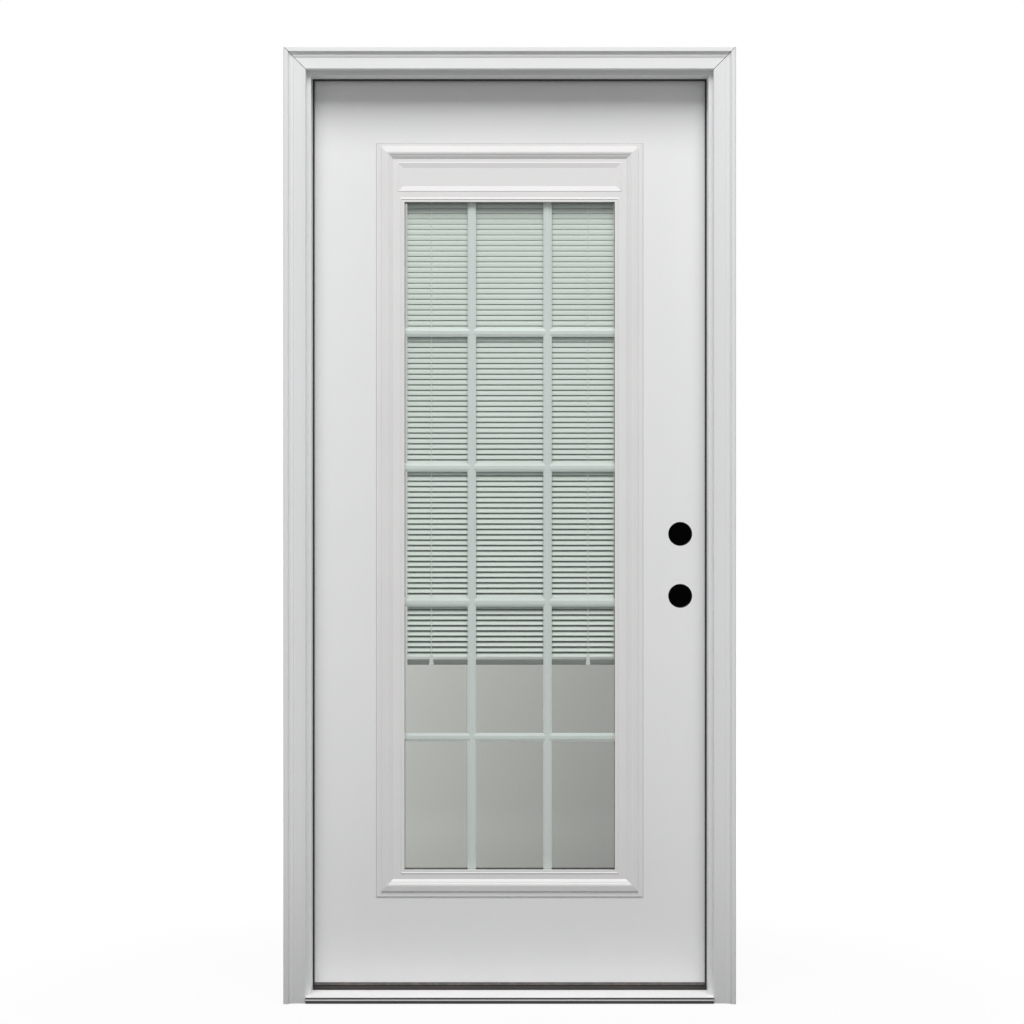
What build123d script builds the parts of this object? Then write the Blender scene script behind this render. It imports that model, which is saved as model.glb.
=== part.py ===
# Glazed steel entry door, hung in its wooden frame, as one unit. Sizes are in millimetres.
# X runs to the right as seen from outside, Y into the building and Z up.
# The origin is the middle of the sill's underside, below the line where the casing's
# back meets the outer edge of the frame.
from build123d import *

import os
from math import cos, radians, sin

os.makedirs("parts", exist_ok=True)

# Slab
slab_width = 908.0
slab_height = 2044.0
slab_thickness = 44.45
skin_thickness = 0.8
stile_width = 34.0
rail_height = 40.0
lock_edge_bevel = 1.7

# Gaps round the slab
side_gap = 5.0
head_gap = 5.0
sill_gap = 8.0
seal_gap = 1.0

# Frame
jamb_depth = 115.9
jamb_thickness = 31.75
rabbet_depth = 15.8

# Casing
casing_width = 49.0
casing_thickness = 31.75
casing_reveal = 9.8
casing_face_width = 26.0
casing_face_drop = 9.75
casing_quirk = 1.6
casing_quirk_flat = 2.2
casing_lip_width = 10.0
casing_lip_quirk = 1.0
casing_edge_round = 1.6
casing_kerf_width = 3.0
casing_kerf_depth = 3.0
casing_kerf_clearance = 0.5
mitre_gap = 1.1

# Sill
deck_front_height = 14.8
deck_back_height = 17.0
deck_thickness = 1.6
nose_inset = 0.75
nose_thickness = 4.0
nose_lip_bottom = 7.2
nose_groove_height = 3.4
nose_groove_depth = 2.8
nose_groove_top = 13.8
cap_inset = 3.9
cap_width = 52.0
cap_height = 24.0
cap_bevel = 5.0

# Seals
strip_depth = 7.45
strip_lap = 4.0
strip_seat = 6.0
strip_round_share = 0.25
sweep_carrier = 3.0
sweep_fin = 1.6
sweep_fin_count = 4
sweep_fin_pitch = 14.2

# Hinges
hinge_height = 101.6
hinge_leaf = 2.5
hinge_leaf_depth = 34.0
hinge_corner = 15.9
barrel_radius = 6.0
pin_radius = 3.0
pin_fit = 0.08
pin_offset = 8.0
knuckle_count = 5
knuckle_gap = 0.3
knuckle_relief = 0.6
pin_head_radius = 5.0
pin_head_height = 3.0
hinge_top_drop = 180.0
hinge_bottom_rise = 232.0
hinge_names = ["bottom", "middle", "top"]

# Lock bores
bore_radius = 26.99
edge_bore_radius = 12.7
backset = 69.85
latch_rise = 870.15
deadbolt_rise = 139.7
lock_block_width = 104.0
lock_block_margin = 90.0
bore_cover_radius = 31.0
bore_cover_thickness = 2.4
bore_cover_round = 0.8

# Strike plates
strike_height = 57.0
strike_width = 28.0
strike_thickness = 1.6
strike_hole_height = 26.0
strike_hole_width = 16.0
strike_pocket_depth = 12.0

# Glazed light
light_side_margin = 154.0
light_bottom_margin = 193.0
light_top_margin = 155.0
light_header_height = 71.0
light_lap = 22.0
light_cutout_fit = 1.0
gasket_show = 0.5
gasket_thickness = 0.6
light_side_rail = 63.0
light_bottom_rail = 59.5
light_top_rail = 60.0
flange_height = 2.4
flange_width = 8.0
flange_ring = 15.0
ogee_side_shift = 3.0
ogee_bottom_shift = 5.0
ogee_foot_height = 6.2
ogee_crest_start = 19.0
ogee_crest_end = 20.2
ogee_crest_height = 8.3
ogee_turn = 22.4
ogee_turn_height = 7.9
ogee_fall = 24.8
ogee_fall_height = 6.8
ogee_shoulder_start = 27.2
ogee_shoulder_end = 28.4
ogee_shoulder_height = 4.8
trough_start = 34.4
trough_height = 0.6
bead_width = 15.0
bead_foot = 9.6
bead_crest_end = 7.0
bead_crest_start = 6.4
bead_height = 1.9
bead_lip_height = -3.4
header_panel_drop = 41.8
header_panel_side = 47.0
header_panel_height = 66.4
header_rim_step = 1.2
header_rim_height = 0.9
header_rim_land = 0.4
header_recess_bevel = 11.2
header_recess_depth = 2.3

# Glass unit
pane_thickness = 3.0
unit_thickness = 25.4
pane_bite = 12.0
pane_clearance = 1.5
spacer_width = 8.0

# Grille inside the glass
grille_width = 19.0
grille_thickness = 6.0
grille_flat = 7.0
grille_shoulder = 2.0
grille_rows = 4
grille_columns = 2
grille_side_end = 19.5
grille_low_end = 6.5
grille_high_end = 11.0
grille_gap = 0.5

# Blind inside the glass
blind_side_gap = 3.5
blind_shift = 2.0
headrail_height = 34.0
headrail_depth = 11.0
headrail_drop = 12.0
slat_width = 16.0
slat_thickness = 0.4
slat_pitch = 12.1
slat_tilt_top = 80.0
slat_tilt_bottom = 53.0
slat_crown = 1.3
blind_rise = 461.5
bottom_rail_height = 12.0
bottom_rail_depth = 10.0
bottom_rail_round = 2.0
cord_column = 177.0
cord_radius = 0.7
cord_gap = 0.25
cord_top_reach = 2.6
tassel_width = 10.8
tassel_neck = 5.0
tassel_height = 22.0
tassel_thickness = 1.6

# Edges count as found within this distance
match_tolerance = 0.01

# Places worked out from the sizes above
stop_half = slab_width / 2 + side_gap - rabbet_depth
rabbet_half = slab_width / 2 + side_gap
frame_half = stop_half + jamb_thickness
casing_inner_half = stop_half + casing_reveal
casing_outer_half = casing_inner_half + casing_width
slab_bottom = cap_height + sill_gap
slab_top = slab_bottom + slab_height
rabbet_top = slab_top + head_gap
stop_top = rabbet_top - rabbet_depth
frame_top = stop_top + jamb_thickness
casing_inner_top = stop_top + casing_reveal
casing_outer_top = casing_inner_top + casing_width
slab_front = jamb_depth - slab_thickness
slab_back = jamb_depth
stop_depth = slab_front - seal_gap - strip_depth
cap_back = jamb_depth - cap_inset
cap_front = cap_back - cap_width
core_front = slab_front + skin_thickness
core_back = slab_back - skin_thickness
slab_middle = (slab_front + slab_back) / 2
slab_half = slab_width / 2
hinge_pin_x = -slab_half - side_gap / 2
hinge_pin_y = slab_back + pin_offset
hinge_heights = [
    slab_bottom + hinge_bottom_rise,
    (slab_bottom + hinge_bottom_rise + slab_top - hinge_top_drop) / 2,
    slab_top - hinge_top_drop,
]
bore_x = slab_half - backset
latch_height = slab_bottom + latch_rise
bore_heights = {"latch": latch_height, "deadbolt": latch_height + deadbolt_rise}
light_width = slab_width - 2 * light_side_margin
light_bottom = slab_bottom + light_bottom_margin
light_top = slab_top - light_top_margin
light_height = light_top - light_bottom
light_middle = (light_bottom + light_top) / 2
cutout_width = light_width - 2 * light_lap
cutout_height = light_height - 2 * light_lap
opening_half = light_width / 2 - light_side_rail
opening_bottom = light_bottom + light_bottom_rail
opening_top = light_top - light_top_rail - light_header_height
opening_middle = (opening_bottom + opening_top) / 2
opening_height = opening_top - opening_bottom
unit_front = slab_middle - unit_thickness / 2
unit_back = slab_middle + unit_thickness / 2
space_front = unit_front + pane_thickness
space_back = unit_back - pane_thickness
unit_pocket_half = opening_half + pane_bite
unit_pocket_bottom = opening_bottom - pane_bite
unit_pocket_top = light_top - light_top_rail + pane_bite
unit_half = unit_pocket_half - pane_clearance
unit_top = unit_pocket_top - pane_clearance
unit_height = unit_top - unit_pocket_bottom
unit_middle = unit_pocket_bottom + unit_height / 2
space_half = unit_half - spacer_width
space_bottom = unit_pocket_bottom + spacer_width
space_top = unit_top - spacer_width
grille_front = space_front + grille_gap
grille_back = grille_front + grille_thickness
grille_pitch = (opening_height + grille_low_end + grille_high_end) / (grille_rows + 1)
grille_lowest = opening_bottom - grille_low_end + grille_pitch
grille_column_pitch = 2 * (opening_half + grille_side_end) / (grille_columns + 1)
blind_bottom = opening_bottom + blind_rise
blind_y = (grille_back + 2 * cord_radius + cord_gap + space_back) / 2
tassel_y = blind_y - bottom_rail_depth / 2 - cord_gap - tassel_thickness / 2
blind_half = opening_half - blind_side_gap
headrail_top = space_top - headrail_drop
headrail_bottom = headrail_top - headrail_height


def deck_height(y):
    """Height of the sloping sill deck at a depth y."""
    slope = (deck_back_height - deck_front_height) / (jamb_depth + casing_thickness)
    return deck_front_height + slope * (y + casing_thickness)


def save(piece, name):
    """Labels a finished piece and writes it as one STEP file."""
    piece.label = name
    export_step(piece, f"parts/{name}.step")


def cut_below_deck():
    """Trims whatever stands on the sill to the slope of its deck."""
    with BuildSketch(Plane.YZ) as below:
        with BuildLine():
            Polyline(
                (-2 * casing_thickness, -deck_front_height),
                (2 * jamb_depth, -deck_front_height),
                (2 * jamb_depth, deck_height(2 * jamb_depth)),
                (-2 * casing_thickness, deck_height(-2 * casing_thickness)),
                close=True,
            )
        make_face()
    extrude(below.sketch, amount=2 * frame_half, both=True, mode=Mode.SUBTRACT)


def round_hinge_corners(piece, y):
    """Rounds the corners that a hinge leaf, or its mortise, has at a depth y."""
    corners = piece.edges().filter_by(Axis.X).filter_by(
        lambda edge: abs(edge.length - hinge_leaf) < match_tolerance
        and abs(edge.center().Y - y) < match_tolerance
    )
    fillet(corners, radius=hinge_corner)


# Side jambs, with the stop standing proud of the rabbet that the slab closes into
for side, name in ((-1, "hinge_jamb"), (1, "strike_jamb")):
    with BuildPart() as jamb:
        with BuildSketch():
            with BuildLine():
                Polyline(
                    (side * stop_half, 0),
                    (side * frame_half, 0),
                    (side * frame_half, jamb_depth),
                    (side * rabbet_half, jamb_depth),
                    (side * rabbet_half, stop_depth),
                    (side * stop_half, stop_depth),
                    close=True,
                )
            make_face()
        extrude(amount=frame_top)
        cut_below_deck()
        if side < 0:
            for height in hinge_heights:
                with BuildSketch(Plane.YZ.offset(-rabbet_half)):
                    with Locations((jamb_depth - hinge_leaf_depth / 2, height)):
                        Rectangle(hinge_leaf_depth, hinge_height)
                extrude(amount=-hinge_leaf, mode=Mode.SUBTRACT)
            round_hinge_corners(jamb, jamb_depth - hinge_leaf_depth)
        else:
            for height in bore_heights.values():
                with BuildSketch(Plane.YZ.offset(rabbet_half)):
                    with Locations((slab_middle, height)):
                        Rectangle(strike_width, strike_height)
                extrude(amount=strike_thickness, mode=Mode.SUBTRACT)
                with BuildSketch(Plane.YZ.offset(rabbet_half)):
                    with Locations((slab_middle, height)):
                        Rectangle(strike_hole_width, strike_hole_height)
                extrude(amount=strike_pocket_depth, mode=Mode.SUBTRACT)
    save(jamb.part, name)

# Head jamb, between the side jambs
with BuildPart() as head_jamb:
    with BuildSketch(Plane.XY.offset(stop_top)):
        with BuildLine():
            Polyline(
                (-stop_half, 0),
                (stop_half, 0),
                (stop_half, stop_depth),
                (rabbet_half, stop_depth),
                (rabbet_half, jamb_depth),
                (-rabbet_half, jamb_depth),
                (-rabbet_half, stop_depth),
                (-stop_half, stop_depth),
                close=True,
            )
        make_face()
    extrude(amount=jamb_thickness)
    with BuildSketch(Plane.XY.offset(stop_top)):
        with Locations((0, (stop_depth + jamb_depth) / 2)):
            Rectangle(2 * rabbet_half, jamb_depth - stop_depth)
    extrude(amount=rabbet_depth, mode=Mode.SUBTRACT)
save(head_jamb.part, "head_jamb")


def casing_section(plane, place):
    """Moulded casing in section; place turns (across, out from the wall) into sketch coordinates."""
    face = casing_thickness - casing_face_drop
    kerf_start = frame_half - casing_inner_half + casing_kerf_clearance
    kerf_end = kerf_start + casing_kerf_width
    quirk_end = casing_face_width + casing_quirk
    cove_start = (quirk_end + casing_quirk_flat, face + casing_quirk)
    cove_end = (casing_width - casing_lip_width, casing_thickness - casing_lip_quirk)
    cove_middle = (
        cove_start[0] + (cove_end[0] - cove_start[0]) * sin(radians(45)),
        cove_start[1] + (cove_end[1] - cove_start[1]) * (1 - cos(radians(45))),
    )
    with BuildSketch(plane) as section:
        with BuildLine():
            Polyline(
                place(*cove_end),
                place(cove_end[0], casing_thickness),
                place(casing_width - casing_edge_round, casing_thickness),
                place(casing_width, casing_thickness - casing_edge_round),
                place(casing_width, 0),
                place(kerf_end, 0),
                place(kerf_end, casing_kerf_depth),
                place(kerf_start, casing_kerf_depth),
                place(kerf_start, 0),
                place(0, 0),
                place(0, face - casing_edge_round),
                place(casing_edge_round, face),
                place(casing_face_width, face),
                place(quirk_end, face + casing_quirk),
                place(*cove_start),
            )
            ThreePointArc(place(*cove_start), place(*cove_middle), place(*cove_end))
        make_face()
    return section.sketch


def mitre_cut(side, keep_head):
    """Removes what lies beyond the mitre at a top corner of the casing."""
    reach = 2 * casing_width
    lift = mitre_gap / 2 / cos(radians(45)) * (1 if keep_head else -1)
    outer = (side * (casing_inner_half + reach), casing_inner_top + reach + lift)
    near = (side * (casing_inner_half - reach), casing_inner_top - reach + lift)
    if keep_head:
        corner = (outer[0], near[1])
    else:
        corner = (near[0], outer[1])
    with BuildSketch(Plane.XZ) as beyond:
        with BuildLine():
            Polyline(outer, corner, near, close=True)
        make_face()
    extrude(beyond.sketch, amount=2 * casing_thickness, both=True, mode=Mode.SUBTRACT)


# Casing: two legs and a head, mitred together at the top corners
for side, name in ((-1, "casing_left"), (1, "casing_right")):
    leg_section = casing_section(
        Plane.XY,
        lambda across, out: (side * (casing_inner_half + across), -out),
    )
    with BuildPart() as leg:
        extrude(leg_section, amount=casing_outer_top, dir=(0, 0, 1))
        mitre_cut(side, keep_head=False)
    save(leg.part, name)

head_section = casing_section(
    Plane.YZ.offset(-casing_outer_half),
    lambda across, out: (-out, casing_inner_top + across),
)
with BuildPart() as casing_head:
    extrude(head_section, amount=2 * casing_outer_half, dir=(1, 0, 0))
    mitre_cut(-1, keep_head=True)
    mitre_cut(1, keep_head=True)
save(casing_head.part, "casing_head")

# Sill: a composite base under the jambs, reaching out between the casing legs
nose_front = -casing_thickness + nose_inset
with BuildPart() as sill_base:
    with BuildSketch():
        with Locations((0, jamb_depth / 2)):
            Rectangle(2 * frame_half, jamb_depth)
        with Locations((0, nose_front / 2)):
            Rectangle(2 * casing_inner_half, -nose_front)
    extrude(amount=deck_height(jamb_depth) - deck_thickness)
    with BuildSketch(Plane.YZ):
        with BuildLine():
            Polyline(
                (nose_front, deck_height(nose_front) - deck_thickness),
                (jamb_depth, deck_height(jamb_depth) - deck_thickness),
                (jamb_depth, deck_height(2 * jamb_depth)),
                (nose_front, deck_height(2 * jamb_depth)),
                close=True,
            )
        make_face()
    extrude(amount=frame_half, both=True, mode=Mode.SUBTRACT)
    with BuildSketch():
        with Locations((0, nose_front + nose_thickness / 2)):
            Rectangle(2 * casing_inner_half, nose_thickness)
    extrude(amount=deck_height(jamb_depth), mode=Mode.SUBTRACT)
save(sill_base.part, "sill_base")

# Aluminium deck over the base, turned down at the nose, with one groove along it
with BuildPart() as sill_deck:
    with BuildSketch(Plane.YZ):
        with BuildLine():
            Polyline(
                (nose_front, nose_lip_bottom),
                (nose_front + nose_thickness, nose_lip_bottom),
                (nose_front + nose_thickness, deck_height(nose_front + nose_thickness) - deck_thickness),
                (jamb_depth, deck_height(jamb_depth) - deck_thickness),
                (jamb_depth, deck_height(jamb_depth)),
                (nose_front, deck_height(nose_front)),
                close=True,
            )
        make_face()
    extrude(amount=frame_half, both=True)
    with BuildSketch():
        for side in (-1, 1):
            with Locations((side * (casing_inner_half + frame_half) / 2, -casing_thickness / 2)):
                Rectangle(frame_half - casing_inner_half, casing_thickness)
    extrude(amount=deck_height(jamb_depth), mode=Mode.SUBTRACT)
    with BuildSketch(Plane.YZ):
        with Locations((nose_front, nose_groove_top - nose_groove_height / 2)):
            Rectangle(2 * nose_groove_depth, nose_groove_height)
    extrude(amount=frame_half, both=True, mode=Mode.SUBTRACT)
save(sill_deck.part, "sill_deck")

# Threshold cap that the sweep closes onto, between the jambs
with BuildPart() as threshold_cap:
    with BuildSketch(Plane.YZ):
        with BuildLine():
            Polyline(
                (cap_front, deck_height(cap_front)),
                (cap_front, cap_height - cap_bevel),
                (cap_front + cap_bevel, cap_height),
                (cap_back - cap_bevel, cap_height),
                (cap_back, cap_height - cap_bevel),
                (cap_back, deck_height(cap_back)),
                close=True,
            )
        make_face()
    extrude(amount=rabbet_half, both=True)
    with BuildSketch(Plane.XY.offset(deck_front_height)):
        for side in (-1, 1):
            with Locations((side * (stop_half + rabbet_half) / 2, (cap_front + stop_depth) / 2)):
                Rectangle(rabbet_depth, stop_depth - cap_front)
    extrude(amount=cap_height, mode=Mode.SUBTRACT)
save(threshold_cap.part, "threshold_cap")

# Weatherstrips against the stops, their lips showing past the stop's edge
strip_bottom = cap_height
strip_inner = stop_half - strip_lap
strip_head = stop_top - strip_lap
for side, name in ((-1, "weatherstrip_left"), (1, "weatherstrip_right")):
    with BuildPart() as strip:
        with BuildSketch(Plane.XY.offset(strip_bottom)):
            with Locations((side * (strip_inner + stop_half + strip_seat) / 2, stop_depth + strip_depth / 2)):
                Rectangle(strip_lap + strip_seat, strip_depth)
        extrude(amount=strip_head - strip_bottom)
        fillet(strip.edges().filter_by(Axis.Z), radius=strip_depth * strip_round_share)
    save(strip.part, name)

with BuildPart() as weatherstrip_head:
    with BuildSketch(Plane.YZ.offset(-stop_half - strip_seat)):
        with Locations((stop_depth + strip_depth / 2, strip_head + (strip_lap + strip_seat) / 2)):
            Rectangle(strip_depth, strip_lap + strip_seat)
    extrude(amount=2 * (stop_half + strip_seat))
    fillet(weatherstrip_head.edges().filter_by(Axis.X), radius=strip_depth * strip_round_share)
save(weatherstrip_head.part, "weatherstrip_head")

# Strike plates let into the strike jamb
for label, height in bore_heights.items():
    with BuildPart() as strike:
        with BuildSketch(Plane.YZ.offset(rabbet_half)):
            with Locations((slab_middle, height)):
                Rectangle(strike_width, strike_height)
                Rectangle(strike_hole_width, strike_hole_height, mode=Mode.SUBTRACT)
        extrude(amount=strike_thickness)
    save(strike.part, f"{label}_strike")

# Butt hinges: knuckles alternate between the frame's leaf and the door's leaf
knuckle_pitch = hinge_height / knuckle_count
leaf_edge = side_gap / 2


def hinge_leaf_part(middle, side, knuckles, inner_y):
    """One leaf: a plate on the given side of the pin, with its own knuckles."""
    bottom = middle - hinge_height / 2
    with BuildPart() as leaf:
        with BuildSketch(Plane.XY.offset(bottom)):
            low_x = hinge_pin_x + side * leaf_edge
            high_x = low_x + side * hinge_leaf
            with Locations(((low_x + high_x) / 2, (inner_y + hinge_pin_y) / 2)):
                Rectangle(hinge_leaf, hinge_pin_y - inner_y)
        extrude(amount=hinge_height)
        for index in range(knuckle_count):
            low = bottom + index * knuckle_pitch
            if index in knuckles:
                start = low + (knuckle_gap / 2 if index > 0 else 0)
                end = low + knuckle_pitch - (knuckle_gap / 2 if index < knuckle_count - 1 else 0)
                with BuildSketch(Plane.XY.offset(start)):
                    with Locations((hinge_pin_x, hinge_pin_y)):
                        Circle(barrel_radius)
                extrude(amount=end - start)
            else:
                with BuildSketch(Plane.XY.offset(low - knuckle_gap / 2)):
                    with Locations((hinge_pin_x, hinge_pin_y)):
                        Circle(barrel_radius + knuckle_relief)
                extrude(amount=knuckle_pitch + knuckle_gap, mode=Mode.SUBTRACT)
        with BuildSketch(Plane.XY.offset(bottom)):
            with Locations((hinge_pin_x, hinge_pin_y)):
                Circle(pin_radius + pin_fit)
        extrude(amount=hinge_height, mode=Mode.SUBTRACT)
        round_hinge_corners(leaf, inner_y)
    return leaf.part


for middle, label in zip(hinge_heights, hinge_names):
    leaf_inner = jamb_depth - hinge_leaf_depth
    save(hinge_leaf_part(middle, -1, range(0, knuckle_count, 2), leaf_inner), f"{label}_hinge_frame_leaf")
    save(hinge_leaf_part(middle, 1, range(1, knuckle_count, 2), leaf_inner), f"{label}_hinge_door_leaf")
    with BuildPart() as pin:
        with BuildSketch(Plane.XY.offset(middle - hinge_height / 2)):
            with Locations((hinge_pin_x, hinge_pin_y)):
                Circle(pin_radius)
        extrude(amount=hinge_height)
        with BuildSketch(Plane.XY.offset(middle + hinge_height / 2)):
            with Locations((hinge_pin_x, hinge_pin_y)):
                Circle(pin_head_radius)
        extrude(amount=pin_head_height)
        with BuildSketch(Plane.XY.offset(middle - hinge_height / 2)):
            with Locations((hinge_pin_x, hinge_pin_y)):
                Circle(pin_head_radius)
        extrude(amount=-pin_head_height)
    save(pin.part, f"{label}_hinge_pin")


def slab_plate_right(y):
    """Right edge of the bevelled slab at a depth y."""
    return slab_half - lock_edge_bevel * (slab_back - y) / slab_thickness


# Steel skins, with the light's opening and the two lock bores
for name, front, back in (
    ("exterior_skin", slab_front, core_front),
    ("interior_skin", core_back, slab_back),
):
    with BuildPart() as skin:
        with BuildSketch(Plane.XY.offset(slab_bottom)):
            with BuildLine():
                Polyline(
                    (-slab_half, front),
                    (slab_plate_right(front), front),
                    (slab_plate_right(back), back),
                    (-slab_half, back),
                    close=True,
                )
            make_face()
        extrude(amount=slab_height)
        with BuildSketch(Plane.XZ):
            with Locations((0, light_middle)):
                Rectangle(cutout_width, cutout_height)
            for height in bore_heights.values():
                with Locations((bore_x, height)):
                    Circle(bore_radius)
        extrude(amount=2 * slab_back, both=True, mode=Mode.SUBTRACT)
        if name == "interior_skin":
            for height in hinge_heights:
                with BuildSketch(Plane.YZ.offset(-slab_half)):
                    with Locations((slab_back - hinge_leaf_depth / 2, height)):
                        Rectangle(hinge_leaf_depth, hinge_height)
                extrude(amount=hinge_leaf, mode=Mode.SUBTRACT)
    save(skin.part, name)

# Stiles, rails and lock block between the skins
with BuildPart() as hinge_stile:
    with BuildSketch(Plane.XY.offset(slab_bottom)):
        with Locations((-slab_half + stile_width / 2, slab_middle)):
            Rectangle(stile_width, core_back - core_front)
    extrude(amount=slab_height)
    for height in hinge_heights:
        with BuildSketch(Plane.YZ.offset(-slab_half)):
            with Locations((slab_back - hinge_leaf_depth / 2, height)):
                Rectangle(hinge_leaf_depth, hinge_height)
        extrude(amount=hinge_leaf, mode=Mode.SUBTRACT)
    round_hinge_corners(hinge_stile, slab_back - hinge_leaf_depth)
save(hinge_stile.part, "hinge_stile")

stile_inner = slab_half - stile_width
with BuildPart() as lock_stile:
    with BuildSketch(Plane.XY.offset(slab_bottom)):
        with BuildLine():
            Polyline(
                (stile_inner, core_front),
                (slab_plate_right(core_front), core_front),
                (slab_plate_right(core_back), core_back),
                (stile_inner, core_back),
                close=True,
            )
        make_face()
    extrude(amount=slab_height)
    with BuildSketch(Plane.YZ.offset(stile_inner)):
        for height in bore_heights.values():
            with Locations((slab_middle, height)):
                Circle(edge_bore_radius)
    extrude(amount=2 * stile_width, mode=Mode.SUBTRACT)
save(lock_stile.part, "lock_stile")

lock_block_bottom = latch_height - lock_block_margin
lock_block_height = deadbolt_rise + 2 * lock_block_margin
with BuildPart() as lock_block:
    with BuildSketch(Plane.XY.offset(lock_block_bottom)):
        with Locations((stile_inner - lock_block_width / 2, slab_middle)):
            Rectangle(lock_block_width, core_back - core_front)
    extrude(amount=lock_block_height)
    with BuildSketch(Plane.XZ):
        for height in bore_heights.values():
            with Locations((bore_x, height)):
                Circle(bore_radius)
    extrude(amount=2 * slab_back, both=True, mode=Mode.SUBTRACT)
    with BuildSketch(Plane.YZ.offset(bore_x)):
        for height in bore_heights.values():
            with Locations((slab_middle, height)):
                Circle(edge_bore_radius)
    extrude(amount=stile_inner - bore_x, mode=Mode.SUBTRACT)
save(lock_block.part, "lock_block")

for name, low in (("top_rail", slab_top - rail_height), ("bottom_rail", slab_bottom)):
    with BuildPart() as rail:
        with BuildSketch(Plane.XY.offset(low)):
            with Locations((0, slab_middle)):
                Rectangle(2 * stile_inner, core_back - core_front)
        extrude(amount=rail_height)
    save(rail.part, name)

# Sweep under the slab: a carrier with fins that hang over the threshold cap
with BuildPart() as door_sweep:
    with BuildSketch(Plane.XY.offset(slab_bottom)):
        with Locations((-lock_edge_bevel / 2, slab_middle)):
            Rectangle(slab_width - lock_edge_bevel, slab_thickness)
    extrude(amount=-sweep_carrier)
    with BuildSketch(Plane.XY.offset(slab_bottom)):
        with Locations((-lock_edge_bevel / 2, slab_middle)):
            with GridLocations(0, sweep_fin_pitch, 1, sweep_fin_count):
                Rectangle(slab_width - lock_edge_bevel, sweep_fin)
    extrude(amount=cap_height + seal_gap - slab_bottom)
save(door_sweep.part, "door_sweep")

# Foam core round the light
with BuildPart() as foam_core:
    with BuildSketch(Plane.XZ.offset(-core_back)):
        with Locations((0, (slab_bottom + slab_top) / 2)):
            Rectangle(2 * stile_inner, slab_height - 2 * rail_height)
        with Locations((0, light_middle)):
            Rectangle(cutout_width, cutout_height, mode=Mode.SUBTRACT)
        with Locations((stile_inner - lock_block_width / 2, lock_block_bottom + lock_block_height / 2)):
            Rectangle(lock_block_width, lock_block_height, mode=Mode.SUBTRACT)
    extrude(amount=core_back - core_front)
save(foam_core.part, "foam_core")

# Dark covers on the inner skin that close the inner ends of the lock bores
for label, height in bore_heights.items():
    with BuildPart() as cover:
        with BuildSketch(Plane.XZ.offset(-slab_back)):
            with Locations((bore_x, height)):
                Circle(bore_cover_radius)
        extrude(amount=-bore_cover_thickness)
        fillet(cover.faces().sort_by(Axis.Y)[-1].edges(), radius=bore_cover_round)
    save(cover.part, f"{label}_bore_cover")


def light_profile():
    """Outer moulding of the light: in from its edge, then out from the skin."""
    return (
        (0, 0),
        (0, flange_height),
        (flange_width, flange_height),
        (flange_width, ogee_foot_height),
        (ogee_crest_start, ogee_crest_height),
        (ogee_crest_end, ogee_crest_height),
        (ogee_turn, ogee_turn_height),
        (ogee_fall, ogee_fall_height),
        (ogee_shoulder_start, ogee_shoulder_height),
        (ogee_shoulder_end, ogee_shoulder_height),
        (trough_start, trough_height),
        (trough_start, 0),
    )


def bead_profile():
    """Inner bead round the glass: out from its edge, then out from the skin."""
    depth = unit_front - slab_front
    return (
        (0, -depth),
        (0, bead_lip_height),
        (bead_crest_start, bead_height),
        (bead_crest_end, bead_height),
        (bead_foot, trough_height),
        (bead_width, trough_height),
        (bead_width, -depth),
    )


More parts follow.
